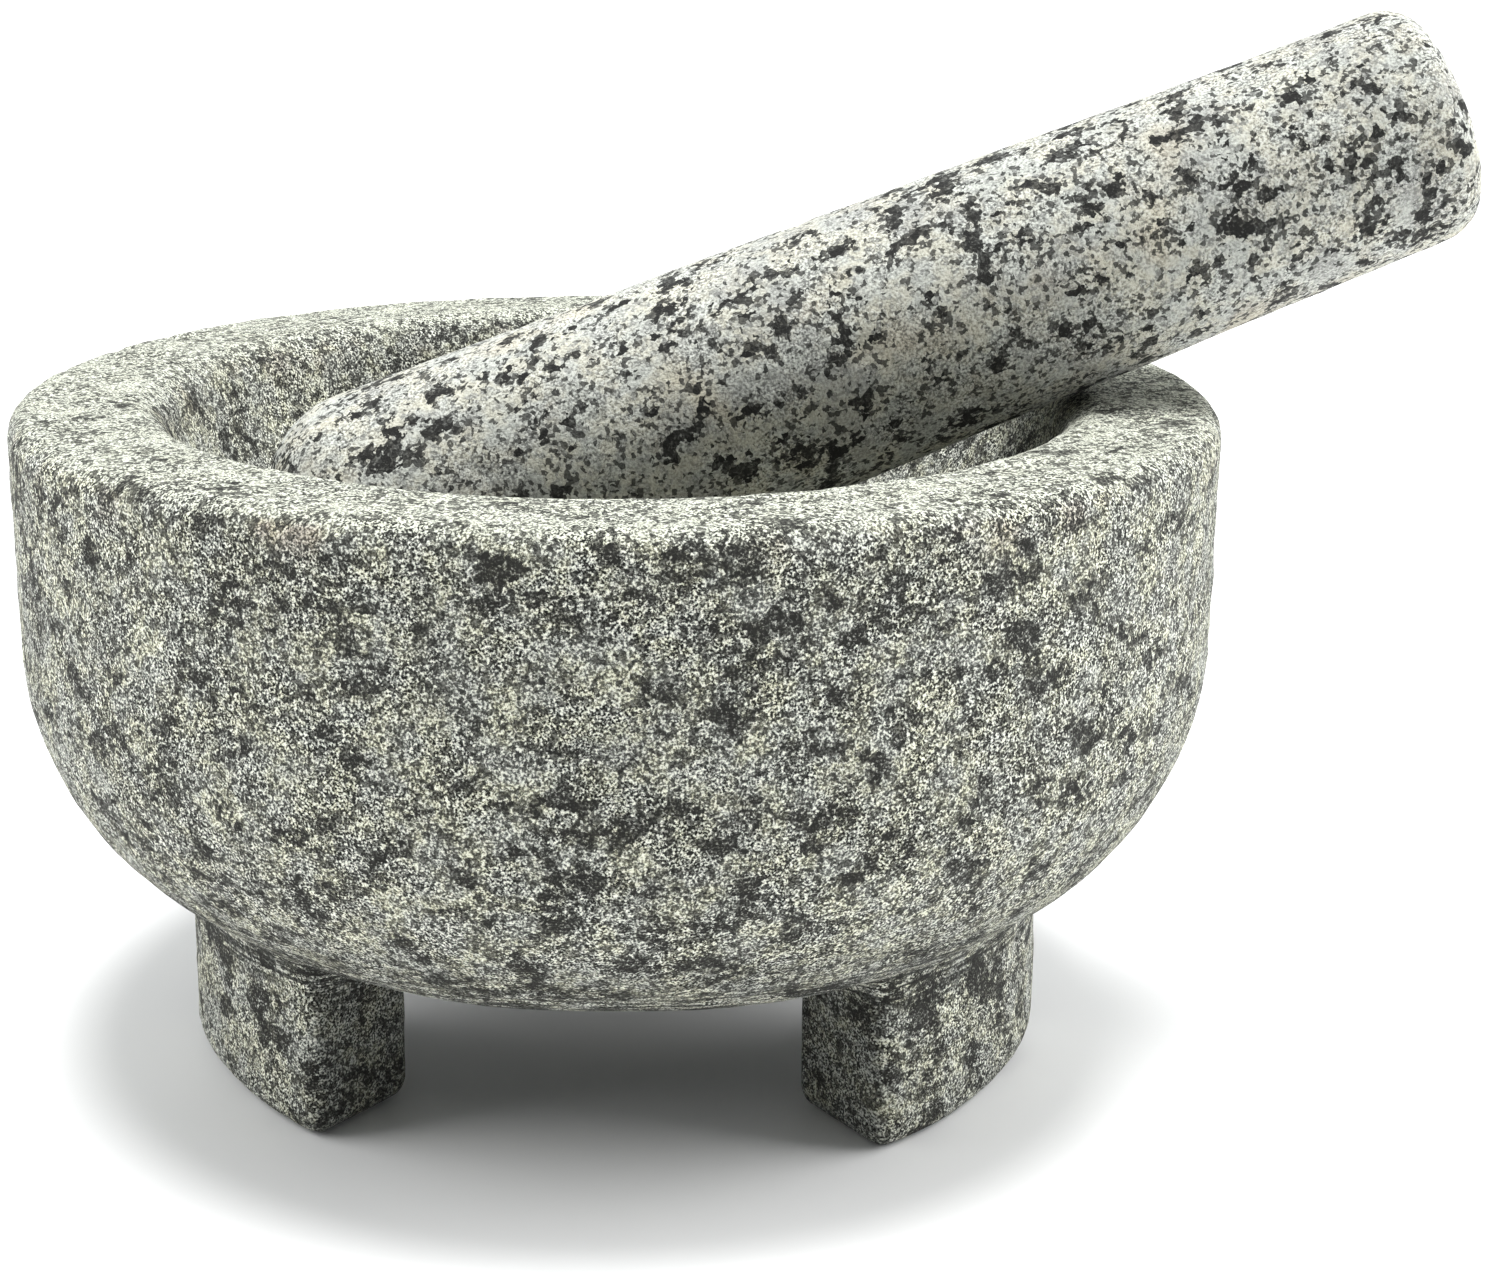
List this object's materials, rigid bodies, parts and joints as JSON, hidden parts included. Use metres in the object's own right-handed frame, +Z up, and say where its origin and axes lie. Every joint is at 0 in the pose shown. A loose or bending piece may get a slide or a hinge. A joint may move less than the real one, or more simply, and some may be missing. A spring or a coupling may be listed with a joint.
{
  "type": "molcajete",
  "caption": "Stone mortar carved from one block, with a wide flat rim, a round hollow and stubby feet, and a loose tapered pestle that leans over the rim.",
  "frame": {"origin": "on the mortar's axis, at the plane its feet stand on", "axes": "+Z up along the mortar's axis, -Y to the front between two of the feet, +X the side over which the pestle leans"},
  "size_m": [0.2459, 0.204, 0.177],
  "materials": {
    "mortar_stone": "unpolished grey granite with dark specks, turned and carved",
    "pestle_stone": "unpolished pale granite with larger near-black specks"
  },
  "bodies": {
    "mortar": {"mortar": "mortar_stone"},
    "pestle": {"pestle": "pestle_stone"}
  },
  "joints": [
    {"name": "pestle_lift", "type": "slide", "parent": "mortar", "child": "pestle", "axis": [0, 0, 1], "range_m": [0, 0.12]}
  ]
}
